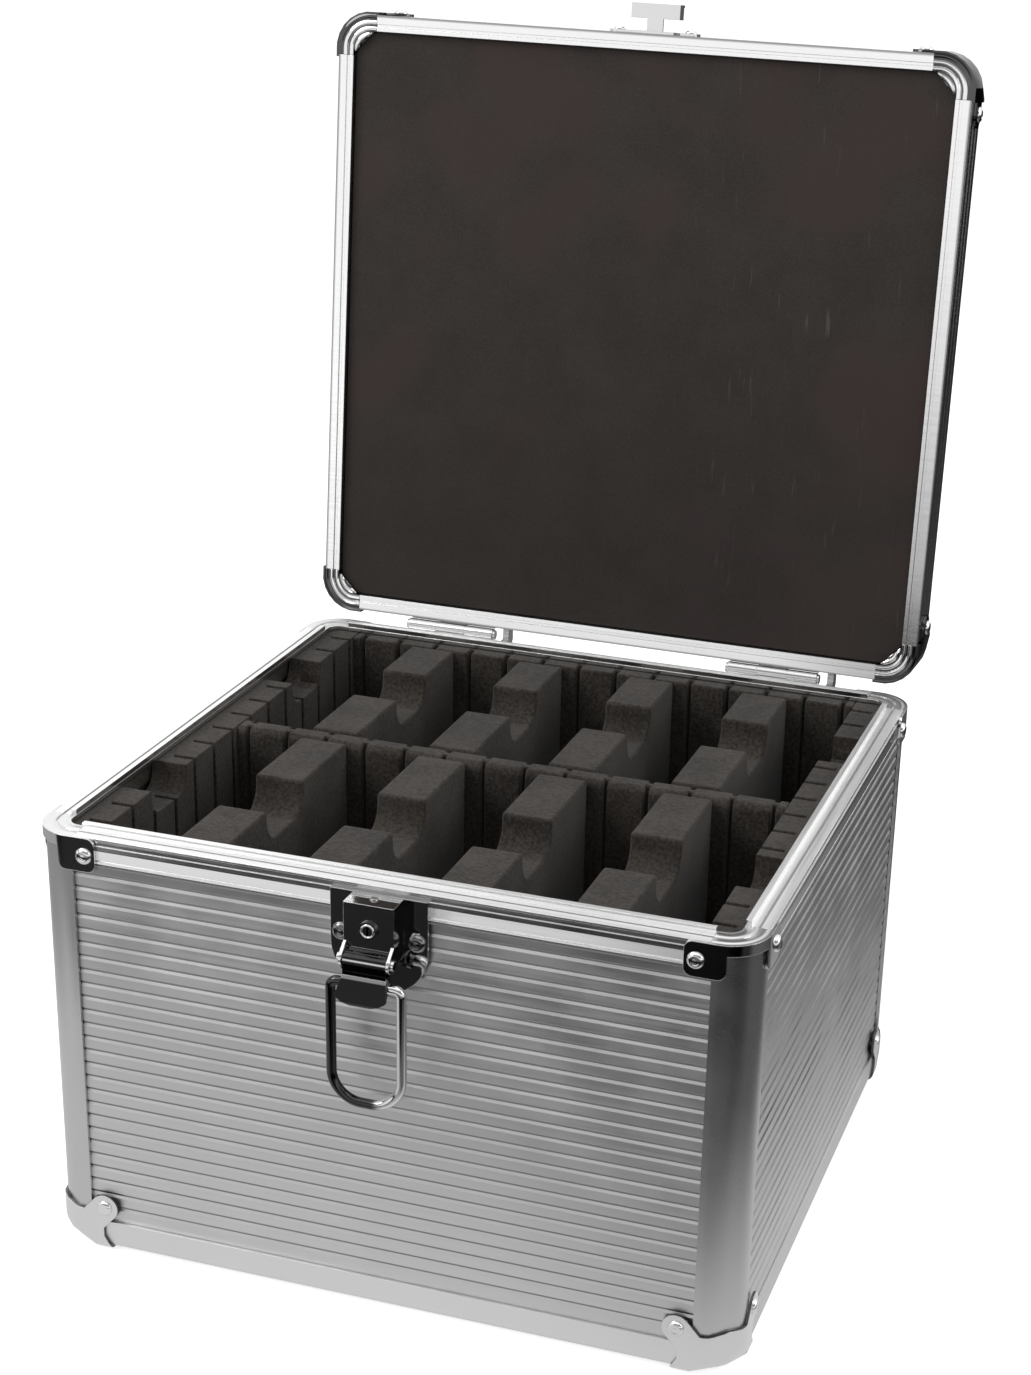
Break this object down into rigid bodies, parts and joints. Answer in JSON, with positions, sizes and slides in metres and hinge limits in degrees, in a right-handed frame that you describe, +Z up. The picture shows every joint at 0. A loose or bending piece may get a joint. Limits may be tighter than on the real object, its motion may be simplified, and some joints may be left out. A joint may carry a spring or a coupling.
{
  "type": "hard drive case",
  "caption": "Rectangular metal carrying case with a hinged lid, ball corners, a lockable draw latch, a folding handle and a foam insert with upright slots for drives.",
  "frame": {"origin": "on the floor under the middle of the footprint, the floor being the lowest face of the rubber feet", "axes": "+X to the right along the front, -Y out of the front where the latch is, +Z up"},
  "size_m": [0.2656, 0.317, 0.4262],
  "materials": {
    "satin_panel": "satin",
    "satin_post": "satin",
    "bright_rail": "polished",
    "chrome_corner": "polished",
    "rivet_steel": "polished",
    "latch_chrome": "polished",
    "hinge_steel": "satin",
    "dark_foam": "matte",
    "lid_foam": "matte",
    "foot_rubber": "matte",
    "dark_plastic": "matte",
    "lock_steel": "satin"
  },
  "bodies": {
    "root": {"front_panel": "satin_panel", "back_panel": "satin_panel", "left_panel": "satin_panel", "right_panel": "satin_panel", "bottom_panel": "satin_panel", "post_front_left": "satin_post", "post_front_right": "satin_post", "post_back_right": "satin_post", "post_back_left": "satin_post", "rim_front": "bright_rail", "rim_right": "bright_rail", "rim_back": "bright_rail", "rim_left": "bright_rail", "rim_corner_front_left": "chrome_corner", "rim_corner_front_right": "chrome_corner", "rim_corner_back_right": "chrome_corner", "rim_corner_back_left": "chrome_corner", "bottom_rail_front": "bright_rail", "bottom_rail_right": "bright_rail", "bottom_rail_back": "bright_rail", "bottom_rail_left": "bright_rail", "foot_corner_front_left": "chrome_corner", "foot_corner_front_right": "chrome_corner", "foot_corner_back_right": "chrome_corner", "foot_corner_back_left": "chrome_corner", "base_rivets": "rivet_steel", "base_feet": "foot_rubber", "foam_front_wall": "dark_foam", "foam_back_wall": "dark_foam", "foam_left_wall": "dark_foam", "foam_right_wall": "dark_foam", "foam_cross_wall": "dark_foam", "foam_floor": "dark_foam", "foam_dividers_front": "dark_foam", "foam_dividers_back": "dark_foam", "hinge_base_leaves": "hinge_steel", "hinge_pins": "hinge_steel", "latch_plate": "latch_chrome", "lock_box": "latch_chrome", "latch_rivets": "rivet_steel", "lever_pin": "latch_chrome"},
    "lid": {"lid_panel": "satin_panel", "lid_rail_front": "bright_rail", "lid_rail_right": "bright_rail", "lid_rail_back": "bright_rail", "lid_rail_left": "bright_rail", "lid_corner_front_left": "chrome_corner", "lid_corner_front_right": "chrome_corner", "lid_corner_back_right": "chrome_corner", "lid_corner_back_left": "chrome_corner", "lid_lining": "lid_foam", "lid_rivets": "rivet_steel", "lid_catch": "latch_chrome", "handle_brackets": "dark_plastic", "hinge_lid_leaves": "hinge_steel"},
    "lever": {"latch_lever": "latch_chrome"},
    "bail": {"bail_loop": "latch_chrome"},
    "lock": {"lock_cylinder": "lock_steel"},
    "handle": {"handle_grip": "dark_plastic"}
  },
  "joints": [
    {"name": "lid_hinge", "type": "hinge", "parent": "root", "child": "lid", "pos_m": [0, 0.1263, 0.1675], "axis": [-1, 0, 0], "range_deg": [-95.5, 0]},
    {"name": "latch_lever", "type": "hinge", "parent": "root", "child": "lever", "pos_m": [0, -0.135, 0.1445], "axis": [-1, 0, 0], "range_deg": [0, 100]},
    {"name": "bail_swing", "type": "hinge", "parent": "lever", "child": "bail", "pos_m": [0, -0.1356, 0.136], "axis": [1, 0, 0], "range_deg": [-192.3, 0]},
    {"name": "lock_turn", "type": "hinge", "parent": "root", "child": "lock", "pos_m": [0, -0.131, 0.155], "axis": [0, -1, 0], "range_deg": [-90, 0]},
    {"name": "handle_fold", "type": "hinge", "parent": "lid", "child": "handle", "pos_m": [0, 0.16991, 0.30425], "axis": [1, 0, 0], "range_deg": [0, 90]}
  ]
}
